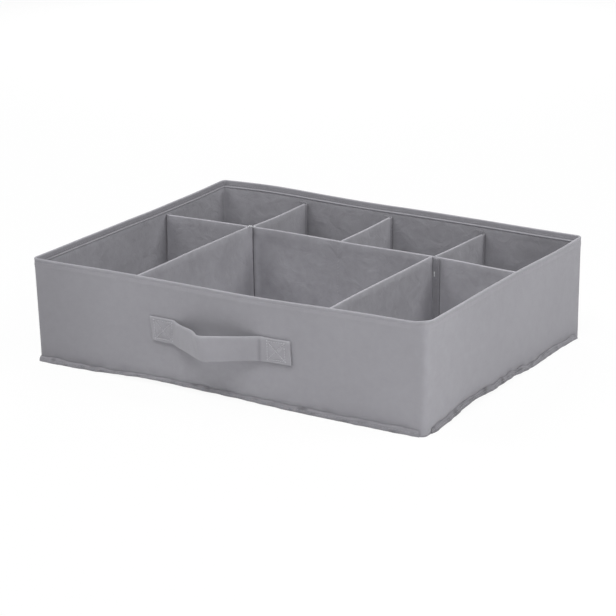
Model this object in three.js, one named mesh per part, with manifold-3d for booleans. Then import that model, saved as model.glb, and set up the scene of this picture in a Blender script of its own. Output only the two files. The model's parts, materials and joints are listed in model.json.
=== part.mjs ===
// Drawer organizer: a low open box of sewn fabric over stiff boards, with seven
// compartments and a strap handle on its front wall. Millimetres, +Z up. The origin
// is on the floor under the middle of the box, and the handle faces -Y.
import * as THREE from "three";
import { mergeVertices } from "three/addons/utils/BufferGeometryUtils.js";
import Module from "manifold-3d";

// Box
const boxWidth = 440; // along X, over the outer cover
const boxDepth = 340; // along Y, over the outer cover
const boxHeight = 110; // floor to the fold of the rim
const cornerRadius = 6; // upright outer edges of the cover
const tightestCorner = 0.5; // least radius an inner layer bends to

// Layers, from the outside in
const coverThickness = 0.7;
const wallBoardThickness = 2;
const liningThickness = 0.6;
const layerGap = 0.25; // play between two layers that touch

// Base
const baseSheetThickness = 0.7;
const baseBoardThickness = 2;
const baseBoardPlay = 0.25; // base board's edge to the wall boards' inner faces

// Rim
const rimHemDepth = 8; // how far the cover turns down inside
const rimStitchDrop = 4.3; // fold of the rim to the row of stitches
const wallBoardDrop = 7.6; // fold of the rim to the top of the wall boards

// Dividers
const dividerDrop = 9.5; // fold of the rim to the top of the dividers
const dividerBoardThickness = 1.2;
const sleeveFabric = 0.6;
const sleeveEdgeRadius = 1;
const hemLength = 7; // flat sewn edge past the end of a divider's board
const flangeWidth = 16; // end of the hem, turned and sewn to what it meets
const sideColumnWidth = 104.8; // clear width of the left and right compartments
const backRowDepth = 107.8; // clear depth of the back row
const middleDividerX = 0;

// Bottom binding
const bindingHeight = 6.8;
const bindingThickness = 2.2;
const bindingEdgeRadius = 0.7;
const bindingSetback = 8; // box corner to the end of a run

// Handle
const handleMiddleX = -3.5;
const handleHeight = 57; // floor to the middle of the strap
const strapWidth = 26;
const strapThickness = 2;
const sewnEndLength = 29;
const loopSpan = 103; // between the inner edges of the sewn ends
const loopRise = 25.5; // how far the loop's crest stands off the sewn ends
const crestHalfWidth = 16;
const footBend = 4; // length over which the strap turns off the wall
const gripStandOff = 11.5; // wall to the inner face of the swinging part, at its ends
const gripGap = 0.3; // cut between the swinging part and its sewn ends

// Thread
const threadWidth = 0.6;
const threadThickness = 0.4;
const threadSeat = 0.2; // thread to the fabric under it
const strapStitchMargin = 3; // edge of a sewn end to its stitches

// Steps on round stretches
const cornerSteps = 3;
const bendSteps = 6;

// Distances inwards from the box's outer faces
const boardInset = coverThickness + layerGap;
const boardInnerInset = boardInset + wallBoardThickness;
const liningInset = boardInnerInset + layerGap;
const innerInset = liningInset + liningThickness;
const rimHemInset = boardInset + liningThickness + layerGap;
const rimInnerInset = rimHemInset + coverThickness;
const hemLipInset = innerInset + layerGap;
const hemLipInnerInset = hemLipInset + coverThickness;

// Heights above the floor
const boardBottom = baseSheetThickness + layerGap;
const floorLiningBottom = boardBottom + baseBoardThickness + layerGap;
const floorTop = floorLiningBottom + liningThickness;
const wallBoardTop = boxHeight - wallBoardDrop;
const liningShelf = wallBoardTop + layerGap;
const hemShelf = liningShelf + liningThickness + layerGap;
const dividerBottom = floorTop + layerGap;
const dividerHeight = boxHeight - dividerDrop - dividerBottom;

// Inside of the box
const innerHalfWidth = boxWidth / 2 - innerInset;
const innerHalfDepth = boxDepth / 2 - innerInset;
const sleeveThickness = dividerBoardThickness + 2 * (layerGap + sleeveFabric);
const hemThickness = 2 * sleeveFabric;
const sideDividerX = innerHalfWidth - sideColumnWidth - sleeveThickness / 2;
const longDividerY = innerHalfDepth - backRowDepth - sleeveThickness / 2;

const materials = {
  cover: fabric(0x979699, 0.95),
  lining: fabric(0x87868a, 0.97),
  divider: fabric(0x8d8c91, 0.96),
  binding: fabric(0x8f8e93, 0.95),
  strap: fabric(0x99989c, 0.93),
  thread: fabric(0x86858a, 0.8),
  board: fabric(0x9c9484, 0.9),
};

const wasm = await Module();
wasm.setup();

function fabric(colour, roughness) {
  return new THREE.MeshStandardMaterial({ color: colour, roughness, metalness: 0 });
}

// A closed solid for joining and cutting, and back to a geometry
function toSolid(geometry) {
  const bare = geometry.clone();
  bare.deleteAttribute("normal");
  bare.deleteAttribute("uv");
  const merged = mergeVertices(bare);
  return new wasm.Manifold(
    new wasm.Mesh({
      numProp: 3,
      vertProperties: merged.attributes.position.array,
      triVerts: new Uint32Array(merged.index.array),
    }),
  );
}

function toGeometry(solid) {
  const mesh = solid.getMesh();
  const geometry = new THREE.BufferGeometry();
  geometry.setAttribute("position", new THREE.BufferAttribute(mesh.vertProperties, 3));
  geometry.setIndex(new THREE.BufferAttribute(mesh.triVerts, 1));
  geometry.computeVertexNormals();
  return geometry;
}

function joined(geometries) {
  return toGeometry(geometries.map(toSolid).reduce((all, one) => all.add(one)));
}

function cutFrom(body, tool) {
  return toGeometry(toSolid(body).subtract(toSolid(tool)));
}

function within(body, tool) {
  return toGeometry(toSolid(body).intersect(toSolid(tool)));
}

// Outlines
function roundedRectangle(halfX, halfY, radius) {
  const x = halfX - radius;
  const y = halfY - radius;
  const shape = new THREE.Shape();
  shape.moveTo(x, -halfY);
  shape.absarc(x, -y, radius, -Math.PI / 2, 0);
  shape.absarc(x, y, radius, 0, Math.PI / 2);
  shape.absarc(-x, y, radius, Math.PI / 2, Math.PI);
  shape.absarc(-x, -y, radius, Math.PI, Math.PI * 1.5);
  shape.closePath();
  return shape;
}

// The box's own outline, moved inwards; the layers round the corners share centres
function boxOutline(inset) {
  const radius = Math.max(cornerRadius - inset, tightestCorner);
  return roundedRectangle(boxWidth / 2 - inset, boxDepth / 2 - inset, radius);
}

function raised(shape, bottom, top) {
  const geometry = new THREE.ExtrudeGeometry(shape, {
    depth: top - bottom,
    curveSegments: cornerSteps,
    bevelEnabled: false,
  });
  return geometry.translate(0, 0, bottom);
}

// A band of fabric that runs once round the box
function bandRound(outerInset, bandInset, bottom, top) {
  const shape = boxOutline(outerInset);
  shape.holes.push(boxOutline(bandInset));
  return raised(shape, bottom, top);
}

function blockFrom(low, high) {
  const size = new THREE.Vector3().subVectors(high, low);
  const middle = new THREE.Vector3().addVectors(low, high).multiplyScalar(0.5);
  return new THREE.BoxGeometry(size.x, size.y, size.z).translate(middle.x, middle.y, middle.z);
}

function piece(name, geometry, material, position = [0, 0, 0]) {
  const mesh = new THREE.Mesh(geometry, material);
  mesh.name = name;
  mesh.position.set(...position);
  return mesh;
}

// Outer fabric: one band round the four walls, folded over the rim and turned down
// inside as a hem, whose lip hangs over the boards' top edges
function outerCover() {
  const foldBottom = boxHeight - coverThickness;
  const shelfTop = hemShelf + coverThickness;
  const outerLeg = bandRound(0, coverThickness, boardBottom, boxHeight);
  const fold = bandRound(0, rimInnerInset, foldBottom, boxHeight);
  const innerLeg = bandRound(rimHemInset, rimInnerInset, hemShelf, boxHeight);
  const shelf = bandRound(rimHemInset, hemLipInnerInset, hemShelf, shelfTop);
  const lip = bandRound(hemLipInset, hemLipInnerInset, boxHeight - rimHemDepth, shelfTop);
  return piece("outer_cover", joined([outerLeg, fold, innerLeg, shelf, lip]), materials.cover);
}

// Inner fabric: between the legs of the rim, then over the boards' top edges and down
function innerLining() {
  const rimInside = boxHeight - coverThickness - layerGap;
  const shelfTop = liningShelf + liningThickness;
  const rimBand = bandRound(boardInset, boardInset + liningThickness, liningShelf, rimInside);
  const shelf = bandRound(boardInset, innerInset, liningShelf, shelfTop);
  const wallBand = bandRound(liningInset, innerInset, floorLiningBottom, shelfTop);
  return piece("inner_lining", joined([rimBand, shelf, wallBand]), materials.lining);
}

function wallBoards() {
  const height = wallBoardTop - boardBottom;
  const middle = boardBottom + height / 2;
  const standOff = boardInset + wallBoardThickness / 2;
  const longLength = boxWidth - 2 * cornerRadius;
  const shortLength = boxDepth - 2 * cornerRadius;
  const group = new THREE.Group();
  for (const [name, side] of [["front", -1], ["back", 1]]) {
    const board = new THREE.BoxGeometry(longLength, wallBoardThickness, height);
    const y = side * (boxDepth / 2 - standOff);
    group.add(piece(`${name}_wall_board`, board, materials.board, [0, y, middle]));
  }
  for (const [name, side] of [["left", -1], ["right", 1]]) {
    const board = new THREE.BoxGeometry(wallBoardThickness, shortLength, height);
    const x = side * (boxWidth / 2 - standOff);
    group.add(piece(`${name}_wall_board`, board, materials.board, [x, 0, middle]));
  }
  return group;
}

// Base: outer sheet on the floor, a stiff board on it, and the compartments' floor
function base() {
  const boardEdge = boardInnerInset + baseBoardPlay;
  const boardTop = boardBottom + baseBoardThickness;
  const sheet = raised(boxOutline(0), 0, baseSheetThickness);
  const board = raised(boxOutline(boardEdge), boardBottom, boardTop);
  const floor = raised(boxOutline(innerInset + layerGap), floorLiningBottom, floorTop);
  const group = new THREE.Group();
  group.add(piece("base_outer_sheet", sheet, materials.cover));
  group.add(piece("base_board", board, materials.board));
  group.add(piece("base_lining", floor, materials.lining));
  return group;
}

// Folded strip over the bottom seam of one wall, lying along X about its own middle
function bindingRun(length) {
  const profile = roundedRectangle(bindingThickness / 2, bindingHeight / 2, bindingEdgeRadius);
  const alongX = new THREE.Matrix4().makeBasis(
    new THREE.Vector3(0, 1, 0),
    new THREE.Vector3(0, 0, 1),
    new THREE.Vector3(1, 0, 0),
  );
  return raised(profile, -length / 2, length / 2).applyMatrix4(alongX);
}

function bottomBinding() {
  const standOff = layerGap + bindingThickness / 2;
  const middle = bindingHeight / 2;
  const group = new THREE.Group();
  for (const [name, side] of [["front", -1], ["back", 1]]) {
    const run = bindingRun(boxWidth - 2 * bindingSetback);
    const y = side * (boxDepth / 2 + standOff);
    group.add(piece(`bottom_binding_${name}`, run, materials.binding, [0, y, middle]));
  }
  for (const [name, side] of [["left", -1], ["right", 1]]) {
    const run = bindingRun(boxDepth - 2 * bindingSetback);
    const x = side * (boxWidth / 2 + standOff);
    const strip = piece(`bottom_binding_${name}`, run, materials.binding, [x, 0, middle]);
    strip.rotation.z = Math.PI / 2;
    group.add(strip);
  }
  return group;
}

// Fabric sleeve of a divider: a pocket that is open at the floor, a flat hem past each
// end of the board, and the hem's end turned to one side along the wall it is sewn to
function dividerSleeve(length, flangeSide) {
  const pocketLength = length - 2 * (hemLength + sleeveFabric);
  const pocketHalfThickness = dividerBoardThickness / 2 + layerGap;
  const pocketTop = dividerHeight - sleeveFabric;
  const below = -dividerBottom;
  const outline = roundedRectangle(length / 2 - hemLength, sleeveThickness / 2, sleeveEdgeRadius);
  const body = raised(outline, 0, dividerHeight);
  const hem = new THREE.BoxGeometry(length, hemThickness, dividerHeight);
  hem.translate(0, 0, dividerHeight / 2);
  const flangeMiddle = (flangeSide * (flangeWidth - hemThickness)) / 2;
  const flanges = [-1, 1].map((end) =>
    new THREE.BoxGeometry(hemThickness, flangeWidth, dividerHeight).translate(
      (end * (length - hemThickness)) / 2,
      flangeMiddle,
      dividerHeight / 2,
    ),
  );
  const pocket = blockFrom(
    new THREE.Vector3(-pocketLength / 2, -pocketHalfThickness, below),
    new THREE.Vector3(pocketLength / 2, pocketHalfThickness, pocketTop),
  );
  return cutFrom(joined([body, hem, ...flanges]), pocket);
}

function divider(name, length, flangeSide) {
  const boardLength = length - 2 * (hemLength + sleeveFabric + layerGap);
  const boardHeight = dividerHeight - sleeveFabric - layerGap;
  const board = new THREE.BoxGeometry(boardLength, dividerBoardThickness, boardHeight);
  const sleeve = dividerSleeve(length, flangeSide);
  const group = new THREE.Group();
  group.add(piece(`${name}_divider_sleeve`, sleeve, materials.divider));
  group.add(piece(`${name}_divider_board`, board, materials.board, [0, 0, boardHeight / 2]));
  return group;
}

// The long divider spans the box; the others run front to back and end against it
function dividers() {
  const toBack = 1;
  const toLeft = 1;
  const toRight = -1;
  const longFace = sleeveThickness / 2 + layerGap;
  const frontRow = [-innerHalfDepth + layerGap, longDividerY - longFace];
  const backRow = [longDividerY + longFace, innerHalfDepth - layerGap];
  const group = new THREE.Group();

  const long = divider("long", 2 * (innerHalfWidth - layerGap), toBack);
  long.position.set(0, longDividerY, dividerBottom);
  group.add(long);

  for (const [name, x, [start, end], side] of [
    ["front_left", -sideDividerX, frontRow, toLeft],
    ["front_right", sideDividerX, frontRow, toRight],
    ["back_left", -sideDividerX, backRow, toLeft],
    ["back_middle", middleDividerX, backRow, toLeft],
    ["back_right", sideDividerX, backRow, toLeft],
  ]) {
    const cross = divider(name, end - start, side);
    cross.position.set(x, (start + end) / 2, dividerBottom);
    cross.rotation.z = Math.PI / 2;
    group.add(cross);
  }
  return group;
}

// Handle strap in its own frame: x along the wall, -y away from it. Both ends lie flat
// on the wall and the middle stands off in a low peak with a round crest.
const strapSeat = layerGap + strapThickness / 2;
const footX = loopSpan / 2;
const legsMeet = loopRise / (1 - crestHalfWidth / loopSpan);
const legSlope = legsMeet / footX;
const legLean = Math.hypot(1, legSlope); // slope length of a leg for each mm along X
const cutRise = gripStandOff + (strapThickness / 2) * legLean - strapSeat;
const cutX = footX - cutRise / legSlope;

function strapRoute() {
  const onLeg = (x) => strapSeat + legSlope * (footX - Math.abs(x));
  const route = new THREE.Path();
  route.moveTo(-footX - sewnEndLength, strapSeat);
  route.lineTo(-footX - footBend, strapSeat);
  route.quadraticCurveTo(-footX, strapSeat, -footX + footBend, onLeg(footX - footBend));
  route.lineTo(-crestHalfWidth, onLeg(crestHalfWidth));
  route.quadraticCurveTo(0, onLeg(0), crestHalfWidth, onLeg(crestHalfWidth));
  route.lineTo(footX - footBend, onLeg(footX - footBend));
  route.quadraticCurveTo(footX, strapSeat, footX + footBend, strapSeat);
  route.lineTo(footX + sewnEndLength, strapSeat);
  return route.getPoints(bendSteps);
}

// Outline of a ribbon that follows a route, half its thickness to either side
function ribbonOutline(route, thickness) {
  const side = (sign) =>
    route.map((point, i) => {
      const before = route[Math.max(i - 1, 0)];
      const after = route[Math.min(i + 1, route.length - 1)];
      const along = new THREE.Vector2().subVectors(after, before).normalize();
      const across = new THREE.Vector2(-along.y, along.x);
      return point.clone().addScaledVector(across, (sign * thickness) / 2);
    });
  return [...side(1), ...side(-1).reverse()];
}

function strapSlice(fromX, toX) {
  const outline = ribbonOutline(strapRoute(), strapThickness);
  const mirrored = outline.map((point) => new THREE.Vector2(point.x, -point.y));
  const whole = raised(new THREE.Shape(mirrored), -strapWidth / 2, strapWidth / 2);
  const low = new THREE.Vector3(fromX, -boxDepth, -strapWidth);
  const high = new THREE.Vector3(toX, boxDepth, strapWidth);
  return within(whole, blockFrom(low, high));
}

// Stitches that hold a sewn end: a square of thread with both its diagonals
function boxStitch() {
  const length = sewnEndLength - footBend - 2 * strapStitchMargin;
  const height = strapWidth - 2 * strapStitchMargin;
  const diagonal = Math.hypot(length, height);
  const lean = Math.atan2(height, length);
  const bar = (barLength) => new THREE.BoxGeometry(barLength, threadThickness, threadWidth);
  const reach = length + threadWidth;
  return joined([
    bar(reach).translate(0, 0, height / 2),
    bar(reach).translate(0, 0, -height / 2),
    bar(height).rotateY(Math.PI / 2).translate(length / 2, 0, 0),
    bar(height).rotateY(Math.PI / 2).translate(-length / 2, 0, 0),
    bar(diagonal).rotateY(lean),
    bar(diagonal).rotateY(-lean),
  ]);
}

function handle() {
  const end = footX + sewnEndLength;
  const half = gripGap / 2;
  const threadOff = strapSeat + strapThickness / 2 + threadSeat + threadThickness / 2;
  const stitchX = footX + (sewnEndLength + footBend) / 2;
  const group = new THREE.Group();
  group.position.set(handleMiddleX, -boxDepth / 2, handleHeight);
  group.add(piece("handle_left_end", strapSlice(-end - 1, -cutX - half), materials.strap));
  group.add(piece("handle_grip", strapSlice(-cutX + half, cutX - half), materials.strap));
  group.add(piece("handle_right_end", strapSlice(cutX + half, end + 1), materials.strap));
  for (const [name, side] of [["left", -1], ["right", 1]]) {
    const place = [side * stitchX, -threadOff, 0];
    group.add(piece(`handle_${name}_stitching`, boxStitch(), materials.thread, place));
  }
  return group;
}

// Row of stitches round the rim, just above the boards' top edges
function rimStitching() {
  const middle = boxHeight - rimStitchDrop;
  const outside = -threadSeat - threadThickness;
  const ring = bandRound(outside, -threadSeat, middle - threadWidth / 2, middle + threadWidth / 2);
  return piece("rim_stitching", ring, materials.thread);
}

const organizer = new THREE.Group();
organizer.add(outerCover(), innerLining(), wallBoards(), base(), bottomBinding());
organizer.add(dividers(), handle(), rimStitching());

export default organizer;
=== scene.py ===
import json
import math
from types import SimpleNamespace

import bmesh
import bpy
from mathutils import Matrix, Vector, noise


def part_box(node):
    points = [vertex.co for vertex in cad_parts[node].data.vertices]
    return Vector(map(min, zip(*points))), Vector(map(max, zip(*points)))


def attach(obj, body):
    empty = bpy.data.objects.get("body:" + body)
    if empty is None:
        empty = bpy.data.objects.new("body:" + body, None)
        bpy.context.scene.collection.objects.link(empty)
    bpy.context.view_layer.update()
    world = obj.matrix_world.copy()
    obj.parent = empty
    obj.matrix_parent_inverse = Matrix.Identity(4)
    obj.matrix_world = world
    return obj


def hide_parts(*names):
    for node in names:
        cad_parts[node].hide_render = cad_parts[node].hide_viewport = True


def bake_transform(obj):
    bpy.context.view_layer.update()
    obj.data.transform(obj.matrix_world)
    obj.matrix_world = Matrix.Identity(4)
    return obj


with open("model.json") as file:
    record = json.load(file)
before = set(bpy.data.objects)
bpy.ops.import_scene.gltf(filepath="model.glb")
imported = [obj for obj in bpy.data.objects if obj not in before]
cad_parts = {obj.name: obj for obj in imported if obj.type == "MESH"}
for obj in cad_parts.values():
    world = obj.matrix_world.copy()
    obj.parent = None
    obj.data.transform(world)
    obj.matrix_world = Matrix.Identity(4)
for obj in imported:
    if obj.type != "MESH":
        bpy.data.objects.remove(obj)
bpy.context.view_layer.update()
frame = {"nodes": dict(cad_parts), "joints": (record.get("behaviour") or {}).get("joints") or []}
print("frame loaded:", len(frame["nodes"]), "nodes")

mm = 0.001  # every piece below is drawn in millimetres


def nodeBox(node):
    low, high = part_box(node)
    return low / mm, high / mm


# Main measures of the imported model
halfWidth, halfDepth, rimHeight = nodeBox("outer_cover")[1]
boardTop = nodeBox("front_wall_board")[1].z
baseSheetTop = nodeBox("base_outer_sheet")[1].z
floorHeight = nodeBox("base_lining")[0].z
rimStitchHeight = sum(corner.z for corner in nodeBox("rim_stitching")) / 2
layerGap = 0.25  # play between two layers that touch


# Small helpers
def ease(value):
    held = min(max(value, 0), 1)
    return held * held * (3 - 2 * held)


def ramp(place, start, end):  # from 0 at the start to 1 at the end, whichever of them is higher
    return ease((place - start) / (end - start))


def swell(place, middle, spread):
    return math.exp(-(((place - middle) / spread) ** 2) / 2)


def swells(place, several):
    return sum(height * swell(place, middle, spread) for middle, spread, height in several)


def fade(distance, reach):
    return math.exp(-((distance / reach) ** 2))


def between(place, several):
    for (x0, value0), (x1, value1) in zip(several, several[1:]):
        if place <= x1:
            return value0 + (value1 - value0) * ramp(place, x0, x1)
    return several[-1][1]


def drift(x, y, z, size, seed=0):
    return noise.noise(Vector((x / size + seed, y / size - seed, z / size + 0.5 * seed)))


def steps(start, end, pitch):
    count = max(1, round(abs(end - start) / pitch))
    return [start + (end - start) * k / count for k in range(count + 1)]


def arc(centreX, centreY, radius, startAngle, endAngle, count):
    angles = [math.radians(startAngle + (endAngle - startAngle) * k / count) for k in range(count + 1)]
    return [(centreX + radius * math.cos(a), centreY + radius * math.sin(a)) for a in angles]


def leftOf(line, k):  # unit direction to the left of a line at its point k
    beforeX, beforeY = line[max(k - 1, 0)]
    afterX, afterY = line[min(k + 1, len(line) - 1)]
    length = math.hypot(afterX - beforeX, afterY - beforeY)
    return -(afterY - beforeY) / length, (afterX - beforeX) / length


def runLengths(points, closedPath=False):
    lengths = [0]
    for (x, y), (nextX, nextY) in zip(points, points[1:] + points[:1] if closedPath else points[1:]):
        lengths.append(lengths[-1] + math.hypot(nextX - x, nextY - y))
    return lengths


# How the real, soft box has settled against its drawn shape. Every piece follows it.
settling = {
    # Each corner: place, height of its rim, pull at the rim, pull at the foot
    "corners": (
        (-1, -1, -1.6, (-3.1, -2.6), (-0.9, -0.8)),
        (1, -1, -0.6, (0.5, 0.4), (0, -1.1)),
        (-1, 1, 1.8, (1.2, 1.4), (0, 0)),
        (1, 1, -1.1, (1.7, 0.4), (0.7, 0.9)),
    ),
    "pullReach": 75,
    "frontTip": (9, 2.4),  # the front right corner's tip turns up: reach, height
    "reach": 42,  # how far in from a wall its lifts and sags fade
    "liftTop": 62,  # height at which the foot's lifts have faded
    # Lifts of each wall's foot and rim: middle along the wall, spread, height
    "footLifts": {
        "front": ((-92, 36, 3.3), (-8, 50, 2.7)),
        "right": ((-105, 22, 2.4), (-74, 20, 4.6), (-30, 30, 3.2), (18, 22, 3.2), (110, 30, 1.0)),
        "back": ((-120, 45, 1.6), (60, 50, 2.2)),
        "left": ((-60, 38, 1.8), (75, 32, 1.5)),
    },
    "rimLifts": {
        "front": ((25, 68, -2.2),),
        "right": ((110, 45, -1.3),),
        "back": ((-150, 55, 3.4), (15, 70, 1.2)),
        "left": ((-75, 45, 0.5),),
    },
    # Where the long divider has been pushed along the depth, and how far this reaches to its sides
    "longLine": ((-215, 45, -3.4), (-80, 35, 1.3), (30, 45, -3), (200, 58, -9.5)),
    "longPlace": 57,
    "longReach": 62,
    "bow": 0.8,  # how far the walls belly out
    "waveSize": 75,
    "waveHeight": 0.45,
    "waveSeeds": (31, 47, 59),
    "waveFoot": 20,  # height below which the waves no longer lift
}


def settle(point):
    x, y, z = point
    across = min(max(x / halfWidth, -1), 1)
    along = min(max(y / halfDepth, -1), 1)
    up = min(max(z / rimHeight, 0), 1)
    moved = Vector(point)
    for sideX, sideY, rimLift, rimPull, footPull in settling["corners"]:
        moved.z += rimLift * up ** 1.5 * (1 + sideX * across) * (1 + sideY * along) / 4
        near = fade(math.hypot(x - sideX * halfWidth, y - sideY * halfDepth), settling["pullReach"])
        pull = Vector(footPull).lerp(Vector(rimPull), up ** 1.5) * near
        moved.x += pull.x
        moved.y += pull.y
    tipReach, tipHeight = settling["frontTip"]
    moved.z += tipHeight * up ** 3 * fade(math.hypot(x - halfWidth, y + halfDepth), tipReach)
    reach = settling["reach"]
    nearness = {
        "front": fade(y + halfDepth, reach),
        "back": fade(y - halfDepth, reach),
        "left": fade(x + halfWidth, reach),
        "right": fade(x - halfWidth, reach),
    }
    footLift = 0
    for wall, near in nearness.items():
        place = x if wall in ("front", "back") else y
        footLift = max(footLift, near * swells(place, settling["footLifts"][wall]))
        moved.z += near * swells(place, settling["rimLifts"][wall]) * up ** 2
    moved.z += footLift * (1 - ease(z / settling["liftTop"]))
    moved.y += fade(y - settling["longPlace"], settling["longReach"]) * swells(x, settling["longLine"])
    belly = settling["bow"] * 4 * up * (1 - up)
    moved.y += belly * (1 - across * across) * (nearness["back"] - nearness["front"])
    moved.x += belly * (1 - along * along) * (nearness["right"] - nearness["left"])
    size = settling["waveSize"]
    wave = Vector([drift(x, y, z, size, seed) for seed in settling["waveSeeds"]]) * settling["waveHeight"]
    wave.z *= ease(z / settling["waveFoot"])
    return moved + wave


# Meshes: points in one place become one point, and all faces point outwards
def mendMesh(mesh):
    work = bmesh.new()
    work.from_mesh(mesh)
    bmesh.ops.remove_doubles(work, verts=work.verts, dist=0.0001 * mm)
    bmesh.ops.recalc_face_normals(work, faces=work.faces)
    if work.calc_volume(signed=True) < 0:
        bmesh.ops.reverse_faces(work, faces=work.faces)
    work.to_mesh(mesh)
    work.free()


def showMesh(name, mesh, material):
    mendMesh(mesh)
    mesh.materials.append(material)
    mesh.polygons.foreach_set("use_smooth", [True] * len(mesh.polygons))
    piece = bpy.data.objects.new(name, mesh)
    bpy.context.scene.collection.objects.link(piece)
    return piece


# Every piece but the strap rides on the box
def dress(piece, slot, *nodes):
    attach(piece, "box")
    if nodes:
        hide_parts(*nodes)


# A surface through rings of points, with its own cloth map in real sizes. Where each ring is
# a folded strip, there and back, its ends close with a row of quads instead of one face.
# A value above zero paints the fabric paler, as painted light; below zero it darkens it, as painted shade,
# and in the binding's random spots as dirt.
def loft(name, rings, lengths, material, paintedLightAndDirtAt, closedPath=False, foldedStrip=0):
    size = len(rings[0])
    middle = [Vector(point) for point in rings[len(rings) // 2]]
    around = [0]
    for j in range(size):
        around.append(around[-1] + (middle[(j + 1) % size] - middle[j]).length)
    faces, corners = [], []
    for i in range(len(rings) if closedPath else len(rings) - 1):
        after = (i + 1) % len(rings)
        for j in range(size):
            beside = (j + 1) % size
            faces.append((i * size + j, after * size + j, after * size + beside, i * size + beside))
            corners += [lengths[i], around[j], lengths[i + 1], around[j]]
            corners += [lengths[i + 1], around[j + 1], lengths[i], around[j + 1]]
    for first in () if closedPath else (0, (len(rings) - 1) * size):
        if not foldedStrip:
            faces.append(tuple(range(first, first + size)))
            for j in range(size):
                corners += [0, around[j]]
            continue
        for j in range(size // 2 - 1):
            far = size - 1 - j
            faces.append((first + j, first + j + 1, first + far - 1, first + far))
            corners += [0, around[j], 0, around[j + 1], foldedStrip, around[j + 1], foldedStrip, around[j]]
    places = [point for ring in rings for point in ring]
    mesh = bpy.data.meshes.new(name)
    mesh.from_pydata([settle(place) * mm for place in places], [], faces)
    cloth = mesh.uv_layers.new(name="cloth")
    cloth.data.foreach_set("uv", [value * mm for value in corners])
    lightened = mesh.attributes.new("paintedLightAndDirt", "FLOAT", "POINT")
    lightened.data.foreach_set("value", [paintedLightAndDirtAt(*place) for place in places])
    return showMesh(name, mesh, material)


# Both faces of a strip of fabric along a centreline: there on its left, back on its right
def stripSection(centreline, thickness, taperedSteps=0, taperedShare=1):
    sides = ([], [])
    for k, (x, y) in enumerate(centreline):
        leftX, leftY = leftOf(centreline, k)
        tapering = ease(1 - (len(centreline) - 1 - k) / taperedSteps) if taperedSteps else 0
        half = thickness / 2 * (1 - (1 - taperedShare) * tapering)
        for side, sign in zip(sides, (1, -1)):
            side.append((x + sign * leftX * half, y + sign * leftY * half))
    return sides[0] + sides[1][::-1]


# A cut sheet or board: an outline given a thickness, with its edges broken and its faces divided
def cutSheet(name, outline, bottom, top, pitches, material, edge=0.2, bend=None):
    work = bmesh.new()
    face = work.faces.new([work.verts.new((x, y, bottom)) for x, y in outline])
    raised = bmesh.ops.extrude_face_region(work, geom=[face])
    upper = [part for part in raised["geom"] if isinstance(part, bmesh.types.BMVert)]
    bmesh.ops.translate(work, verts=upper, vec=(0, 0, top - bottom))
    bmesh.ops.recalc_face_normals(work, faces=work.faces)
    bmesh.ops.bevel(work, geom=list(work.edges), offset=edge, segments=1, affect="EDGES", clamp_overlap=True)
    for axis, pitch in enumerate(pitches):
        if not pitch:
            continue
        low = min(vertex.co[axis] for vertex in work.verts)
        high = max(vertex.co[axis] for vertex in work.verts)
        normal = Vector((0, 0, 0))
        normal[axis] = 1
        for place in steps(low, high, pitch)[1:-1]:
            parts = list(work.verts) + list(work.edges) + list(work.faces)
            bmesh.ops.bisect_plane(work, geom=parts, dist=0.0001, plane_co=normal * place, plane_no=normal)
    cloth = work.loops.layers.uv.new("cloth")
    for one in work.faces:
        facing = max(range(3), key=lambda axis: abs(one.normal[axis]))
        first, second = [axis for axis in range(3) if axis != facing]
        for corner in one.loops:
            corner[cloth].uv = (corner.vert.co[first] * mm, corner.vert.co[second] * mm)
    for vertex in work.verts:
        vertex.co = settle(bend(vertex.co) if bend else vertex.co) * mm
    mesh = bpy.data.meshes.new(name)
    work.to_mesh(mesh)
    work.free()
    mesh.attributes.new("paintedLightAndDirt", "FLOAT", "POINT")  # all zero: no painted light or shade on sheets and boards
    return showMesh(name, mesh, material)


# Materials
def addNode(tree, kind, inputs=None, **settings):
    made = tree.nodes.new(kind)
    for key, value in settings.items():
        setattr(made, key, value)
    for socket, value in (inputs or {}).items():
        if isinstance(value, bpy.types.NodeSocket):
            tree.links.new(value, made.inputs[socket])
        else:
            made.inputs[socket].default_value = value
    return made


def reckon(tree, operation, first, second):
    return addNode(tree, "ShaderNodeMath", {0: first, 1: second}, operation=operation).outputs[0]


def noiseAt(tree, place, size, **more):
    inputs = {"Vector": place, "Scale": 1 / (size * mm), **more}
    return addNode(tree, "ShaderNodeTexNoise", inputs).outputs[0]


def mapRange(tree, value, low, high, toLow=0, toHigh=1, **settings):
    inputs = {"Value": value, "From Min": low, "From Max": high, "To Min": toLow, "To Max": toHigh}
    return addNode(tree, "ShaderNodeMapRange", inputs, **settings).outputs[0]


def mixColours(tree, share, first, second):
    inputs = {"Factor": share, 6: first, 7: second}
    return addNode(tree, "ShaderNodeMix", inputs, data_type="RGBA").outputs[2]


def bumpFrom(tree, height, strength, depth, **more):
    inputs = {"Height": height, "Strength": strength, "Distance": depth * mm, **more}
    return addNode(tree, "ShaderNodeBump", inputs).outputs[0]


def srgb(red, green, blue):
    def linear(value):
        part = value / 255
        return part / 12.92 if part <= 0.04045 else ((part + 0.055) / 1.055) ** 2.4

    return (linear(red), linear(green), linear(blue), 1)


def newMaterial(name):
    material = bpy.data.materials.new(name)
    material.use_nodes = True
    tree = material.node_tree
    return material, tree, addNode(tree, "ShaderNodeTexCoord").outputs["Object"]


def finishMaterial(material, colour, roughness, normal, **constants):
    tree = material.node_tree
    shader = tree.nodes["Principled BSDF"]
    for socket, value in (("Base Color", colour), ("Roughness", roughness), ("Normal", normal)):
        tree.links.new(value, shader.inputs[socket])
    for socket, value in constants.items():
        shader.inputs[socket].default_value = value
    return material


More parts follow.
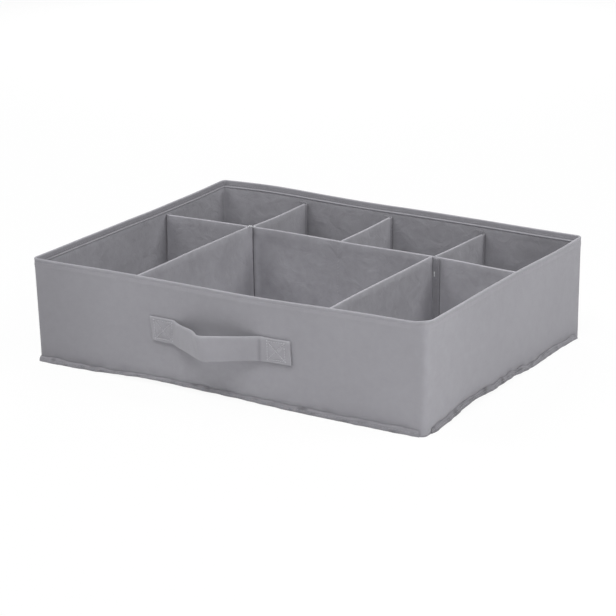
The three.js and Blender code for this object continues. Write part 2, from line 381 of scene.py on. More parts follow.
# Nonwoven fabric: fibres pressed together by a grid of small bond points
def nonwovenFabric(name, look):
    material, tree, place = newMaterial(name)
    cloth = addNode(tree, "ShaderNodeUVMap", uv_map="cloth").outputs[0]
    split = addNode(tree, "ShaderNodeSeparateXYZ", {0: cloth})
    turn = 2 * math.pi / (look["bondPitch"] * mm)
    waves = [reckon(tree, "SINE", reckon(tree, "MULTIPLY", split.outputs[k], turn), 0) for k in (0, 1)]
    grid = reckon(tree, "MULTIPLY", *waves)
    bond = mapRange(tree, grid, *look["bondEdges"], interpolation_type="SMOOTHSTEP")
    fibre = noiseAt(tree, cloth, look["fibreSize"], Detail=4, Distortion=1.4)
    mottle = noiseAt(tree, place, look["mottleSize"], Detail=5, Roughness=0.6)
    patch = noiseAt(tree, place, look["patchSize"], Detail=2)
    tone = reckon(tree, "MULTIPLY_ADD", fibre, look["fibreTone"])
    tone.node.inputs[2].default_value = 0.5 - (look["fibreTone"] + look["mottleTone"] + look["patchTone"]) / 2
    tone = reckon(tree, "ADD", tone, reckon(tree, "MULTIPLY", mottle, look["mottleTone"]))
    tone = reckon(tree, "ADD", tone, reckon(tree, "MULTIPLY", patch, look["patchTone"]))
    tone = reckon(tree, "SUBTRACT", tone, reckon(tree, "MULTIPLY", bond, look["bondTone"]))
    body = mixColours(tree, tone, srgb(*look["dark"]), srgb(*look["light"]))
    # Painted light and shade: above zero towards the lightened colour, below zero towards the shaded one
    paintedLightAndDirt = addNode(tree, "ShaderNodeAttribute", attribute_name="paintedLightAndDirt").outputs["Fac"]
    lightening = reckon(tree, "MULTIPLY", paintedLightAndDirt, reckon(tree, "ADD", mottle, look["lightenedEvenly"]))
    lightenedColour = mixColours(tree, lightening, body, srgb(*look["lightened"]))
    colour = mixColours(tree, mapRange(tree, paintedLightAndDirt, 0, -1), lightenedColour, srgb(*look["shadedAndSoiled"]))
    raised = reckon(tree, "MULTIPLY", fibre, look["fibreRelief"])
    relief = reckon(tree, "SUBTRACT", raised, reckon(tree, "MULTIPLY", bond, look["bondRelief"]))
    crease = noiseAt(tree, place, look["creaseSize"], Detail=3, Distortion=0.6)
    broad = bumpFrom(tree, crease, look["bumpStrength"], look["creaseDepth"])
    fine = bumpFrom(tree, relief, look["bumpStrength"], look["fibreDepth"], Normal=broad)
    roughness = mapRange(tree, tone, 0.2, 0.8, *look["roughness"])
    return finishMaterial(material, colour, roughness, fine, **look["surface"])


fabricLook = {
    "dark": (138, 137, 142),
    "light": (164, 163, 169),
    # Colours that painted light and painted shade mix towards; the darker one also colours dirt spots
    "lightened": (176, 175, 181),
    "shadedAndSoiled": (96, 95, 99),
    "lightenedEvenly": 0.3,  # painted light that doesn't follow the mottle
    "bondPitch": 1.6,
    "bondEdges": (0.45, 0.95),
    "bondTone": 0.16,
    "bondRelief": 0.5,
    "fibreSize": 0.5,
    "fibreTone": 0.35,
    "fibreRelief": 0.6,
    "fibreDepth": 0.12,
    "mottleSize": 9,
    "mottleTone": 0.35,
    "patchSize": 80,
    "patchTone": 0.3,
    "creaseSize": 26,
    "creaseDepth": 1.2,
    "bumpStrength": 0.6,
    "roughness": (0.98, 0.86),
    "surface": {"Specular IOR Level": 0.2, "Sheen Weight": 0.12, "Sheen Roughness": 0.6},
}
# The same fabric inside, its light colour paler as painted light against the shade inside, with more mottle
# and larger patches
innerLightenedLook = {
    **fabricLook,
    "light": (170, 169, 175),
    "lightened": (190, 189, 195),
    "mottleTone": 0.6,
    "patchSize": 48,
    "patchTone": 0.8,
    "creaseSize": 18,
}
bindingLook = {**fabricLook, "mottleSize": 5, "creaseSize": 8, "creaseDepth": 0.8}
strapLook = {
    **fabricLook,
    "dark": (142, 141, 146),
    "light": (168, 167, 173),
    "creaseSize": 14,
    "creaseDepth": 0.8,
}
coverFabric = nonwovenFabric("coverFabric", fabricLook)
liningFabric = nonwovenFabric("liningFabric", {**innerLightenedLook, "creaseDepth": 2.6})
dividerFabric = nonwovenFabric("dividerFabric", {**innerLightenedLook, "creaseDepth": 2.2})
bindingFabric = nonwovenFabric("bindingFabric", bindingLook)
strapFabric = nonwovenFabric("strapFabric", strapLook)

threadLook = {
    "plySize": 0.5,
    "plyTone": 0.6,
    "plyDepth": 0.05,
    "fuzzSize": 1 / 0.9,
    "roughness": (0.75, 0.55),
    "surface": {"Sheen Weight": 0.1},
}


# Sewing thread: twisted plies along the stitch
def sewingThread(name, dark, light):
    look = threadLook
    material, tree, place = newMaterial(name)
    plyInputs = {"Vector": place, "Scale": 1 / (look["plySize"] * mm), "Distortion": 1.5, "Detail": 2}
    ply = addNode(tree, "ShaderNodeTexWave", plyInputs, bands_direction="DIAGONAL").outputs[1]
    fuzz = reckon(tree, "MULTIPLY", noiseAt(tree, place, look["fuzzSize"], Detail=3), 1 - look["plyTone"])
    tone = reckon(tree, "ADD", reckon(tree, "MULTIPLY", ply, look["plyTone"]), fuzz)
    colour = mixColours(tree, tone, srgb(*dark), srgb(*light))
    roughness = mapRange(tree, tone, 0, 1, *look["roughness"])
    bump = bumpFrom(tree, ply, 0.5, look["plyDepth"])
    return finishMaterial(material, colour, roughness, bump, **look["surface"])


greyThread = sewingThread("greyThread", (128, 127, 132), (166, 165, 171))
lightThread = sewingThread("lightThread", (166, 165, 170), (202, 201, 207))
paleThread = sewingThread("paleThread", (196, 198, 200), (232, 234, 236))

boardLook = {
    "dark": (134, 127, 114),
    "light": (168, 161, 148),
    "fleck": (108, 100, 88),
    "pulpSize": 1 / 0.26,
    "fleckScale": 420,
    "fleckEdges": (0.05, 0.16),
    "roughness": (0.95, 0.85),
    "depth": 0.08,
}


# Greyboard: pressed paper pulp with flecks
def pressedBoard(name):
    look = boardLook
    material, tree, place = newMaterial(name)
    pulp = noiseAt(tree, place, look["pulpSize"], Detail=6)
    fleckInputs = {"Vector": place, "Scale": look["fleckScale"], "Randomness": 1}
    spot = addNode(tree, "ShaderNodeTexVoronoi", fleckInputs).outputs[0]
    body = mixColours(tree, pulp, srgb(*look["dark"]), srgb(*look["light"]))
    colour = mixColours(tree, mapRange(tree, spot, *look["fleckEdges"]), srgb(*look["fleck"]), body)
    roughness = mapRange(tree, pulp, 0, 1, *look["roughness"])
    return finishMaterial(material, colour, roughness, bumpFrom(tree, pulp, 0.4, look["depth"]))


greyboard = pressedBoard("greyboard")
print("materials ready")


# Places round the box's outer outline, each with its direction inwards
def boxStations(cornerRadius, pitch, cornerSteps):
    farX, farY = halfWidth - cornerRadius, halfDepth - cornerRadius
    corners = ((farX, -farY, -90), (farX, farY, 0), (-farX, farY, 90), (-farX, -farY, 180))
    stations = []
    for k, (centreX, centreY, start) in enumerate(corners):
        for x, y in arc(0, 0, 1, start, start + 90, cornerSteps):
            stations.append((centreX + cornerRadius * x, centreY + cornerRadius * y, -x, -y))
        lastX, lastY, inX, inY = stations[-1]
        nextX, nextY, _ = corners[(k + 1) % 4]
        endX, endY = nextX - cornerRadius * inX, nextY - cornerRadius * inY
        for share in steps(0, 1, pitch / math.hypot(endX - lastX, endY - lastY))[1:-1]:
            stations.append((lastX + (endX - lastX) * share, lastY + (endY - lastY) * share, inX, inY))
    return stations


# How far inside the box's outer outline a point lies, round its corners too
def insetAt(x, y):
    radius = coverSizes["cornerRadius"]
    pastX, pastY = abs(x) - halfWidth + radius, abs(y) - halfDepth + radius
    return radius - (math.hypot(pastX, pastY) if pastX > 0 and pastY > 0 else max(pastX, pastY))


# A section of fabric swept once round the box; the ripple, from the share of the turn, the
# height and the inset, moves it outwards
def bandRound(name, stations, section, ripple, material, paintedLightAndDirtAt):
    lengths = runLengths([(x, y) for x, y, _, _ in stations], closedPath=True)
    rings = []
    for (x, y, inX, inY), length in zip(stations, lengths):
        ring = []
        for inset, z in section:
            reach = inset - ripple(length / lengths[-1], z, inset)
            ring.append((x + inX * reach, y + inY * reach, z))
        rings.append(ring)
    return loft(name, rings, lengths, material, paintedLightAndDirtAt, closedPath=True)


# Smooth noise that meets itself after one turn round the box
def ringDrift(turn, z, size, seed):
    ringRadius = 2 * (halfWidth + halfDepth) / math.pi
    angle = 2 * math.pi * turn
    return drift(ringRadius * math.cos(angle), ringRadius * math.sin(angle), z, size, seed)


# Outer cover: up the wall, over the rim's fold, and down inside over the boards' top edges
coverSizes = {
    "thickness": 0.7,
    "cornerRadius": 6,
    "foldWidth": 2.5,
    "hemDepth": 7.9,  # how far below the rim the hem ends, inside
    "hemLipInset": 4.2,
    "legLean": 1.0,  # how far the fold's inner leg leans in at its foot
    "shelfRadius": 0.35,
    "lipRadius": 0.7,
    "lipTuck": 0.34,  # how far the hem's cut edge is drawn back to the wall
    "lipTuckHeight": 4,
    "lipSteps": 10,  # steps of its section over which the hem's cut edge thins
    "lipShare": 0.16,
    "stitchPinch": 0.18,
    "innerPinchShare": 0.6,
    "pinchSpread": 1.1,
    "boardPuff": 0.15,  # the boards' top edge shows through outside
    "hemStep": 0.1,  # and so does the hem's end
    "seamRipple": 0.3,
    "rimRipple": 0.16,
    "wallRipple": 0.35,
    # Its levels: up to which height they stand how far apart
    "lowLevels": (16, 1.3),
    "wallLevels": (98, 6),
    "rimPitch": 0.55,
    "pitch": 3.6,
    "cornerSteps": 9,
}
liningSizes = {
    "thickness": 0.6,
    "topGap": 0.95,  # how far below the rim it begins, inside the fold
    "legInset": 1.25,  # how far its leg in the fold, and its wall, stand inside the outline
    "wallInset": 3.5,
    "turnRadius": 0.6,
    "broadRipple": 0.2,
    "fineRipple": 0.12,
    "pitch": 5,
    "cornerSteps": 6,
    "underHemLight": 0.15,  # painted light right under the rim's hem, lifting the hem's shadow
    # painted shade in the far right compartments
    "farRightShade": 0.27,
    "farRight": ((120, 170), (70, 120)),  # where it begins and is whole, across and along the depth
    # painted shade along the lining of the left wall
    "leftShade": 0.1,
}
coverHalf = coverSizes["thickness"] / 2
foldRadius = coverSizes["foldWidth"] / 2 - coverHalf
foldCentre = rimHeight - coverHalf - foldRadius
innerLegInset = coverHalf + 2 * foldRadius


def rimPinch(z):
    return coverSizes["stitchPinch"] * swell(z, rimStitchHeight, coverSizes["pinchSpread"])


# How far the rim's inner leg has leaned in at a height
def legLean(z):
    down = (foldCentre - z) / (foldCentre - boardTop - liningSizes["thickness"])
    return coverSizes["legLean"] * min(max(down, 0), 1) ** 1.5


def coverLine():
    s = coverSizes
    (lowTop, lowPitch), (wallTop, wallPitch) = s["lowLevels"], s["wallLevels"]
    levels = steps(baseSheetTop + layerGap, lowTop, lowPitch) + steps(lowTop, wallTop, wallPitch)[1:]
    levels += steps(wallTop, foldCentre, s["rimPitch"])[1:-1]
    hemEnd = rimHeight - s["hemDepth"]
    line = []
    for z in levels:
        puff = s["boardPuff"] * swell(z, boardTop - 0.6, 1.5)
        step = s["hemStep"] * ramp(z, hemEnd - 0.6, hemEnd + 0.1) * (z < rimStitchHeight)
        line.append((coverHalf + rimPinch(z) - puff - step, z))
    line += arc(coverHalf + foldRadius, foldCentre, foldRadius, 180, 0, 10)
    shelf = boardTop + 2 * layerGap + liningSizes["thickness"] + coverHalf
    radius, lip = s["shelfRadius"], s["lipRadius"]
    legFoot = shelf + radius
    for z in steps(foldCentre, legFoot, 0.5)[1:-1]:
        line.append((innerLegInset + legLean(z) - s["innerPinchShare"] * rimPinch(z), z))
    line += arc(innerLegInset + legLean(legFoot) + radius, legFoot, radius, 180, 270, 4)
    line += arc(s["hemLipInset"] - lip, shelf - lip, lip, 90, 0, 5)
    for z in steps(shelf - lip, hemEnd, 0.4)[1:]:
        line.append((s["hemLipInset"] - s["lipTuck"] * ramp(z, hemEnd + s["lipTuckHeight"], hemEnd), z))
    return line


def coverRipple(turn, z, inset):
    s = coverSizes
    seam = s["seamRipple"] * abs(ringDrift(turn, z, 9, 3)) * math.exp(-max(z - 6, 0) / 9)
    rim = s["rimRipple"] * ringDrift(turn, z, 7, 8) * swell(z, rimStitchHeight, 3.5)
    wall = s["wallRipple"] * max(ringDrift(turn, z, 60, 5), -0.3) * ease(z / 12)
    return (seam + wall) * (1 if inset < 1.2 else 0.25) + rim


# Painted light and shade on the cover: where it is painted paler, and where darker
coverPaintedLight = {
    "foldHighlight": 0.4,  # painted highlight along the rim's fold
    "nearLight": 0.25,  # painted light at the front end of the right wall
    "nearAlong": (-40, -160),  # where along the depth it begins, and is whole
    # painted light below the strap, lifting its shadow
    "belowStrapLight": 0.5,
    "strapShade": ((-6, 58), (13, 17)),  # that place across and up: middle and spread
    # painted shade, darker towards the foot
    "footShade": 0.16,
    "footShadeHeight": 26,
    # painted shade in the groove above the bottom binding
    "grooveShade": 0.25,
    "groove": (8, 2.2),  # its height and spread, above the bottom binding
    "farShade": 0.23,  # painted shade at the left end of the front wall
    "farAlong": (-110, -220),
    "seamShade": 0.35,  # painted shade along the rim's seam, inside
    "lipShade": 0.1,  # painted shade on the hem's lip
    "leftShade": 0.22,  # painted shade on the left wall's inner side of the rim
    # more painted shade on the left wall's lip
    "leftLipShade": 0.3,
    "hemEdgeHighlight": 0.55,  # painted highlight along the hem's cut edge
}


# Painted light and shade on the outside of the cover
def outerPaintedLight(x, y, z):
    w = coverPaintedLight
    acrossStrap, belowStrap = w["strapShade"]
    near = w["nearLight"] * ramp(y, *w["nearAlong"]) * ramp(x, halfWidth - 8, halfWidth)
    below = w["belowStrapLight"] * swell(x, *acrossStrap) * swell(z, *belowStrap) * (y < 0)
    foot = w["footShade"] * ramp(z, w["footShadeHeight"], 0)
    groove = w["grooveShade"] * swell(z, *w["groove"]) * max(0.3 + drift(x, y, 5, 11), 0)
    far = w["farShade"] * ramp(x, *w["farAlong"]) * ramp(y, 20 - halfDepth, -halfDepth)
    return near + below - foot - groove - far


# Painted shade inside the rim, less a painted highlight along the hem's cut edge
def innerPaintedShade(x, y, z, inset):
    w = coverPaintedLight
    hemEnd = rimHeight - coverSizes["hemDepth"]
    seam = w["seamShade"] * swell(z, boardTop + 2.6, 0.7) * ramp(inset, 1.5, 2) * ramp(inset, 3.9, 3.5)
    inside = ramp(inset, 1.3, 1.8) * ramp(z, rimHeight - 0.8, rimHeight - 1.6)
    lip = ramp(inset, 2.6, 3.1) * ramp(z, boardTop + 2.2, boardTop + 1.6)
    onLeft = ramp(x, 12 - halfWidth, 6 - halfWidth)
    hemEdge = ramp(z, hemEnd + 2.8, hemEnd + 1.2) * ramp(y, 4 - halfDepth, 40 - halfDepth) * (inset > 3)
    shade = lip * (w["lipShade"] + w["leftLipShade"] * onLeft) + w["leftShade"] * onLeft * inside
    return seam + shade * (1 - hemEdge) - w["hemEdgeHighlight"] * hemEdge


# Painted light and shade over the whole cover
def boxPaintedLight(x, y, z):
    inset = insetAt(x, y)
    outside = outerPaintedLight(x, y, z) if inset < 1.5 else 0
    return coverPaintedLight["foldHighlight"] * swell(z, rimHeight, 1.0) + outside - innerPaintedShade(x, y, z, inset)


coverStations = boxStations(coverSizes["cornerRadius"], coverSizes["pitch"], coverSizes["cornerSteps"])
outerCover = bandRound(
    "outer_cover_fabric",
    coverStations,
    stripSection(coverLine(), coverSizes["thickness"], coverSizes["lipSteps"], coverSizes["lipShare"]),
    coverRipple,
    coverFabric,
    boxPaintedLight,
)
dress(outerCover, "cover_fabric", "outer_cover")
print("cover made")


# Inner lining: between the rim's two legs, over the boards, and down to the floor
def liningLine():
    s = liningSizes
    radius = s["turnRadius"]
    shelf = boardTop + layerGap + s["thickness"] / 2
    line = [(s["legInset"], z) for z in steps(rimHeight - s["topGap"], shelf + radius, 1)[:-1]]
    line += arc(s["legInset"] + radius, shelf + radius, radius, 180, 270, 4)
    line += arc(s["wallInset"] - radius, shelf - radius, radius, 90, 0, 4)
    line += [(s["wallInset"], z) for z in steps(shelf - radius, floorHeight, 5)[1:]]
    return line


def liningRipple(turn, z, inset):
    s = liningSizes
    broad = s["broadRipple"] * abs(ringDrift(turn, z, 38, 11))
    fine = s["fineRipple"] * abs(ringDrift(turn, z, 14, 2))
    return -ramp(inset, 3, 3.2) * ramp(z, boardTop - 4, boardTop - 14) * (broad + fine)


# Painted light and shade on the lining
def liningPaintedLight(x, y, z):
    s = liningSizes
    acrossBox, alongDepth = s["farRight"]
    farRight = s["farRightShade"] * ramp(x, *acrossBox) * ramp(y, *alongDepth)
    onLeft = s["leftShade"] * ramp(x, 8 - halfWidth, 4 - halfWidth)
    underHem = s["underHemLight"] * swell(z, rimHeight - coverSizes["hemDepth"] - 0.5, 0.9)
    return underHem - max(farRight, onLeft)


innerLining = bandRound(
    "inner_lining_fabric",
    boxStations(coverSizes["cornerRadius"], liningSizes["pitch"], liningSizes["cornerSteps"]),
    stripSection(liningLine(), liningSizes["thickness"]),
    liningRipple,
    liningFabric,
    liningPaintedLight,
)
dress(innerLining, "lining_fabric", "inner_lining")
print("lining made")


# Base sheets and wall boards, over their nodes
def roundedOutline(low, high, radius):
    corners = (
        (high.x - radius, low.y + radius, -90),
        (high.x - radius, high.y - radius, 0),
        (low.x + radius, high.y - radius, 90),
        (low.x + radius, low.y + radius, 180),
    )
    return [point for x, y, start in corners for point in arc(x, y, radius, start, start + 90, 4)]


def plainOutline(low, high):
    return [(low.x, low.y), (high.x, low.y), (high.x, high.y), (low.x, high.y)]


baseSheets = {
    # Each sheet: its node, its corner radius, its fabric or board, and the slot for it
    "base_outer_fabric": ("base_outer_sheet", coverSizes["cornerRadius"], coverFabric, "cover_fabric"),
    "base_stiffener": ("base_board", 2, greyboard, "greyboard"),
    "base_lining_fabric": ("base_lining", 2, liningFabric, "lining_fabric"),
}
for name, (node, radius, material, slot) in baseSheets.items():
    low, high = nodeBox(node)
    outline = roundedOutline(low, high, radius)
    dress(cutSheet(name, outline, low.z, high.z, (9, 9, None), material, edge=0.15), slot, node)
for side in ("front", "back", "left", "right"):
    low, high = nodeBox(f"{side}_wall_board")
    pitches = (10, None, 8) if side in ("front", "back") else (None, 10, 8)
    board = cutSheet(f"{side}_wall_stiffener", plainOutline(low, high), low.z, high.z, pitches, greyboard)
    dress(board, "greyboard", f"{side}_wall_board")
print("base and boards made")

# Dividers: a fabric pocket over a board, with a flat hem and a turned flange at each end
dividerSizes = {
    "fabric": 0.6,
    "shortHem": 1.6,  # hem left bare at the long divider's ends and where the others end against it
    "hemHalf": 0.62,
    "hemDrop": 0.8,
    "endRadius": 0.5,
    "turnRadius": 0.7,
    "turnGap": 0.03,
    "flangeReach": 9.3,
    "seamShare": 0.6,  # where on a flange its seam runs
    # How far the first and the last end stand to the side, and how much higher or lower
    "shifts": {
        "long": ((0, 0), (0, 0)),
        "front_left": ((-1.6, 2.6), (1.2, 2.4)),
        "front_right": ((-4.0, -0.8), (0.8, 0.8)),
        "back_left": ((0.5, 4.5), (0, -1.2)),
        "back_middle": ((0, 0.9), (-0.5, -0.5)),
        "back_right": ((0, 1.7), (-0.3, -3.4)),
    },
    "sway": 0.9,
    "swaySize": 80,
    "pitch": 6,
    "creaseReach": 1.2,  # closer stations where a painted shadow line runs down
    "creasePitch": 0.4,
    "levelPitch": 7,
}
# Painted light and shade on the dividers
dividerPaintedLight = {
    # painted highlight along the top edges
    "topHighlight": 0.35,
    # painted shade in the hems
    "hemShade": 0.35,
    "hemRidge": (0.45, 0.17),  # the middle of a wall hem gets no painted shade and stays lit: place and spread, as shares of it
    # painted shade on the flanges
    "flangeShade": 0.25,
    # A thin painted shadow line where a divider ends
    "endShadowLines": {
        "long": 0,
        "front_left": 1.3,
        "front_right": 0.6,
        "back_left": 0.5,
        "back_middle": 0.5,
        "back_right": 0.5,
    },
    # painted shadow line down the long divider's front, where the front left divider meets it
    "creaseShade": 1.0,
    "rightLight": 0.2,  # painted light: the long divider's front is paler at its right end and low down
    "rightLightFrom": (105, 135),
    "lowLight": 0.22,
    "lowLightDepth": 50,
    "cornerLight": 0.9,  # painted light in the corners where dividers meet, lifting the shade there
    "cornerLightReach": 13,
    "cornerLightDepth": 22,
}


def dividerFacts(name, lengthwise):
    s = dividerSizes
    sleeveLow, sleeveHigh = nodeBox(f"{name}_divider_sleeve")
    boardLow, boardHigh = nodeBox(f"{name}_divider_board")
    axis, side = (0, 1) if lengthwise else (1, 0)
    middle = (boardLow + boardHigh) / 2
    wallHem = sleeveHigh[axis] - boardHigh[axis] - layerGap - s["fabric"]
    firstHem = wallHem if not lengthwise and middle.y < 0 else s["shortHem"]
    lastHem = wallHem if not lengthwise and middle.y > 0 else s["shortHem"]
    return SimpleNamespace(
        name=name,
        lengthwise=lengthwise,
        middle=middle,
        bottom=sleeveLow.z,
        top=sleeveHigh.z,
        boardBottom=boardLow.z,
        boardTop=boardHigh.z,
        length=sleeveHigh[axis] - sleeveLow[axis],
        boardLength=boardHigh[axis] - boardLow[axis],
        boardThickness=boardHigh[side] - boardLow[side],
        halfThick=(boardHigh[side] - boardLow[side]) / 2 + layerGap + s["fabric"],
        hems=(firstHem, lastHem),
        seed=1.7 * middle.x + 0.9 * middle.y,
    )


# Half of a divider's plan, from its middle out to a flange's tip: place, direction, half thickness
def dividerHalfPlan(divider, hem, flangeSide, creases):
    s = dividerSizes
    hemHalf, turn = s["hemHalf"], s["turnRadius"]
    boardEnd = divider.length / 2 - hem
    turnAt = divider.length / 2 - hemHalf - s["turnGap"] - turn
    stations = steps(0, boardEnd - 2, s["pitch"])
    reach, pitch = s["creaseReach"], s["creasePitch"]
    for crease in creases:
        stations = [along for along in stations if abs(along - crease) > 1.5 * reach]
        stations += steps(crease - reach, crease + reach, pitch)
    plan = [(along, 0, 0, 1, divider.halfThick) for along in sorted(stations)]
    for share in (0.0, 0.3, 0.55, 0.75, 0.9, 0.98, 1.0):
        half = hemHalf + (divider.halfThick - hemHalf) * math.sqrt(1 - share * share)
        plan.append((boardEnd - s["endRadius"] * (1 - share), 0, 0, 1, half))
    for along in steps(boardEnd, turnAt, 1.2)[1:-1]:
        plan.append((along, 0, 0, 1, hemHalf))
    for x, y in arc(0, 0, 1, -90, 0, 6):
        plan.append((turnAt + turn * x, flangeSide * turn * (1 + y), -x, -y * flangeSide, hemHalf))
    endX, _, outX, outY, _ = plan[-1]
    for reach in steps(turn, s["flangeReach"], 2)[1:]:
        plan.append((endX, flangeSide * reach, outX, outY, hemHalf))
    return plan


def pocketSection(half, bottom, top):
    s = dividerSizes
    offset = half - s["fabric"] / 2
    radius = 0.8 * offset
    shoulder = top - s["fabric"] / 2 - radius
    levels = steps(bottom, shoulder, s["levelPitch"])
    line = [(-offset, z) for z in levels[:-1]]
    line += arc(-offset + radius, shoulder, radius, 180, 90, 4)
    line += arc(offset - radius, shoulder, radius, 90, 0, 4)
    line += [(offset, z) for z in levels[::-1][1:]]
    return stripSection(line, s["fabric"])


def shiftAt(divider, along):  # how far aside a place along the divider stands, and its lift
    share = along / divider.length + 0.5
    return [start + (end - start) * share for start, end in dividerSizes["shifts"][divider.name]]


# A point of a divider: along it, to the side that its flanges turn to, and up
def dividerPoint(divider, along, aside, z):
    middle = divider.middle
    free = 1 - min(abs(2 * along / divider.length), 1) ** 2
    sway = dividerSizes["sway"] * free * drift(along, z, divider.seed, dividerSizes["swaySize"])
    shifted, lift = shiftAt(divider, along)
    onSleeve = 1 if divider.lengthwise else 1 - ease((abs(aside) - divider.halfThick - 0.2) / 1.2)
    lifted = z + lift * ease(z / divider.top) * onSleeve
    if divider.lengthwise:
        return Vector((middle.x + along, middle.y + aside + sway + shifted, lifted))
    return Vector((middle.x - aside - sway + shifted, middle.y + along, lifted))


# Painted light and shade on a divider's fabric
def sleevePaintedLight(divider, creases, x, y, z):
    w = dividerPaintedLight
    middle, halfLength = divider.middle, divider.length / 2
    along, aside = (x - middle.x, y - middle.y) if divider.lengthwise else (y - middle.y, x - middle.x)
    aside -= shiftAt(divider, along)[0]
    hem = divider.hems[1] if along > 0 else divider.hems[0]
    atWall = hem > dividerSizes["shortHem"]
    inHem = ramp(abs(along), halfLength - hem - 0.4, halfLength - hem + 0.4)
    ridgePlace, ridgeSpread = w["hemRidge"]
    ridge = swell(abs(along), halfLength - ridgePlace * hem, ridgeSpread * hem) if atWall else 0
    onFlange = ramp(abs(aside), 1.6, 2.2) if abs(along) > halfLength - 2 else 0
    endShadowLine = w["endShadowLines"][divider.name] * swell(abs(along), halfLength - 0.5, 0.6)
    endShadowLine *= along * middle.y < 0 or atWall
    paintedShade = (w["hemShade"] * inHem * (1 - ridge) + endShadowLine) * (1 - onFlange) + w["flangeShade"] * onFlange
    corner = w["cornerLightReach"]  # distance from the nearest corner with another divider
    if divider.lengthwise and aside < 0:
        corner = min(abs(along - crossing) for crossing in frontCrossings)
    if not divider.lengthwise and not atWall:
        corner = halfLength - abs(along)
    cornerLit = w["cornerLight"] * ramp(corner, w["cornerLightReach"], 0) * ease((divider.top - z) / w["cornerLightDepth"])
    tone = cornerLit * (1 - onFlange) - paintedShade
    if divider.lengthwise and aside < 0:
        crease = max(swell(along, crease, 0.9) for crease in creases)
        tone = tone * (1 - crease) - w["creaseShade"] * crease
        tone += w["rightLight"] * ramp(x, *w["rightLightFrom"])
        tone += w["lowLight"] * ease((divider.top - z) / w["lowLightDepth"])
    return w["topHighlight"] * swell(z, divider.top, 1.2) * (1 - inHem) + tone


def makeSleeve(divider, flangeSide, creases):
    s = dividerSizes
    sideCreases = [-crease for crease in creases if crease < 0], [crease for crease in creases if crease > 0]
    firstHalf, lastHalf = (
        dividerHalfPlan(divider, hem, flangeSide, some) for hem, some in zip(divider.hems, sideCreases)
    )
    plan = [(-along, aside, -outX, outY, thick) for along, aside, outX, outY, thick in firstHalf[:0:-1]]
    plan += lastHalf
    rings = []
    for along, aside, outX, outY, thick in plan:
        inHem = 1 - ramp(thick, s["hemHalf"], divider.halfThick)
        top = divider.top - s["hemDrop"] * inHem * (1 + 0.6 * drift(along, aside, divider.seed, 9))
        section = pocketSection(thick, divider.bottom, top)
        rings.append([dividerPoint(divider, along + outX * a, aside + outY * a, z) for a, z in section])
    lengths = runLengths([(along, aside) for along, aside, *_ in plan])

    def paintedLightAndDirtAt(x, y, z):
        return sleevePaintedLight(divider, creases, x, y, z)

    name = f"{divider.name}_divider_fabric"
    sleeve = loft(name, rings, lengths, dividerFabric, paintedLightAndDirtAt, foldedStrip=s["fabric"])
    dress(sleeve, "divider_fabric", f"{divider.name}_divider_sleeve")


def makeDividerBoard(divider):
    corner = Vector((divider.boardLength / 2, divider.boardThickness / 2))
    board = cutSheet(
        f"{divider.name}_divider_stiffener",
        plainOutline(-corner, corner),
        divider.boardBottom,
        divider.boardTop,
        (8, None, 8),
        greyboard,
        bend=lambda point: dividerPoint(divider, *point),
    )
    dress(board, "greyboard", f"{divider.name}_divider_board")


# Paths of the seams that hold the hems and flanges, on both faces
def dividerSeamPaths(divider, flangeSide, sewnThrough):
    s = dividerSizes
    places = []
    for end, hem in zip((-1, 1), divider.hems):
        if hem > s["shortHem"]:
            hemAt = end * (divider.length / 2 - hem / 2)
            places += [(hemAt, face * (s["hemHalf"] + 0.1)) for face in (-1, 1)]
        flangeAt = end * (divider.length / 2 - 2 * s["hemHalf"] - 0.1)
        places.append((flangeAt, flangeSide * s["seamShare"] * s["flangeReach"]))
    places += [(crossing - 1.5, -divider.halfThick - 0.05) for crossing in sewnThrough]
    heights = steps(divider.bottom + 2, divider.top - 2.5, 4)
    return [[dividerPoint(divider, along, aside, z) for z in heights] for along, aside in places]


def makeDivider(name, lengthwise, flangeSide, sewnThrough=(), creases=()):
    divider = dividerFacts(name, lengthwise)
    makeSleeve(divider, flangeSide, creases)
    makeDividerBoard(divider)
    return dividerSeamPaths(divider, flangeSide, sewnThrough)


def middleX(name):
    return sum(corner.x for corner in nodeBox(f"{name}_divider_board")) / 2


shortDividers = {"front_left": 1, "front_right": -1, "back_left": 1, "back_middle": 1, "back_right": 1}
crossings = [middleX(name) for name in ("back_left", "back_middle", "back_right")]
frontCrossings = [middleX(name) for name in ("front_left", "front_right")]
creaseAt = frontCrossings[0] + dividerSizes["shifts"]["front_left"][0][1] + 0.2
dividerSeams = makeDivider("long", True, 1, sewnThrough=crossings, creases=[creaseAt])
for name, flangeSide in shortDividers.items():
    dividerSeams += makeDivider(name, False, flangeSide)
print("dividers made")

